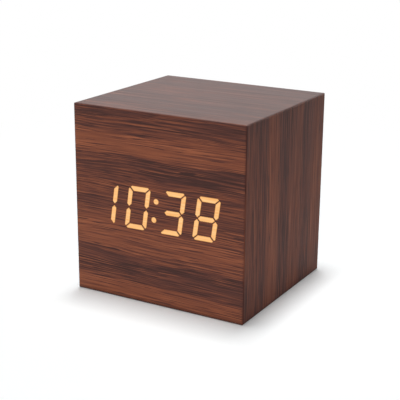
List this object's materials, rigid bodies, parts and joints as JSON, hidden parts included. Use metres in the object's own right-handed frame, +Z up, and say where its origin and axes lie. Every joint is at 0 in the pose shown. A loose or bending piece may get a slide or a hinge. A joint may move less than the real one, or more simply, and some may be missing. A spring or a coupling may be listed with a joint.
{
  "type": "digital cube alarm clock",
  "caption": "Small wood-film cube clock with a seven-segment display shining through its front, and a moulded back cover with keys, power socket and battery bay behind a hinged door.",
  "frame": {"origin": "middle of the base, on the surface that the clock stands on", "axes": "+Z up, -Y out of the front with the display, +X to the right seen from the front"},
  "size_m": [0.062, 0.057, 0.063],
  "materials": {
    "wood_film": "satin printed film",
    "raw_board": "raw fibreboard",
    "amber_light": "lit light window",
    "grey_window": "unlit light window",
    "housing_grey": "moulded",
    "circuit_board": "lacquered",
    "white_plastic": "moulded",
    "part_black": "moulded",
    "cover_black": "fine moulded grain",
    "steel": "plated",
    "cell_jacket": "plain printed sleeve",
    "lead_cover": "wire insulation",
    "ribbon_grey": "ribbon insulation"
  },
  "bodies": {
    "case": {"front_film": "wood_film", "front_board": "raw_board", "top_board": "wood_film", "bottom_board": "wood_film", "left_board": "wood_film", "right_board": "wood_film", "corner_blocks": "raw_board", "display_housing": "housing_grey", "lit_segments": "amber_light", "unlit_segments": "grey_window", "segment_leds": "white_plastic", "display_board": "circuit_board", "display_spacers": "white_plastic", "display_screws": "steel", "clock_chip": "part_black", "chip_legs": "steel", "quartz_crystal": "steel", "buzzer": "part_black", "smoothing_capacitor": "steel", "temperature_sensor": "part_black", "ribbon_sockets": "white_plastic", "ribbon_cable": "ribbon_grey", "back_cover": "cover_black", "cover_screws": "steel", "key_board": "circuit_board", "key_board_screws": "steel", "key_switches": "part_black", "power_socket": "part_black", "socket_pin": "steel", "microphone": "steel", "cell_cans": "steel", "cell_jackets": "cell_jacket", "contact_plates": "steel", "contact_springs": "steel", "battery_leads": "lead_cover"},
    "set_button": {"set_key": "part_black", "set_plunger": "white_plastic"},
    "up_button": {"up_key": "part_black", "up_plunger": "white_plastic"},
    "down_button": {"down_key": "part_black", "down_plunger": "white_plastic"},
    "door": {"battery_door": "cover_black"}
  },
  "joints": [
    {"name": "set_press", "type": "slide", "parent": "case", "child": "set_button", "axis": [0, -1, 0], "range_m": [0, 0.0003], "stiffness_N_per_m": 400, "springref_m": -0.002},
    {"name": "up_press", "type": "slide", "parent": "case", "child": "up_button", "axis": [0, -1, 0], "range_m": [0, 0.0003], "stiffness_N_per_m": 400, "springref_m": -0.002},
    {"name": "down_press", "type": "slide", "parent": "case", "child": "down_button", "axis": [0, -1, 0], "range_m": [0, 0.0003], "stiffness_N_per_m": 400, "springref_m": -0.002},
    {"name": "door_hinge", "type": "hinge", "parent": "case", "child": "door", "pos_m": [0, 0.0268, 0.01235], "axis": [-1, 0, 0], "range_deg": [0, 80]}
  ]
}
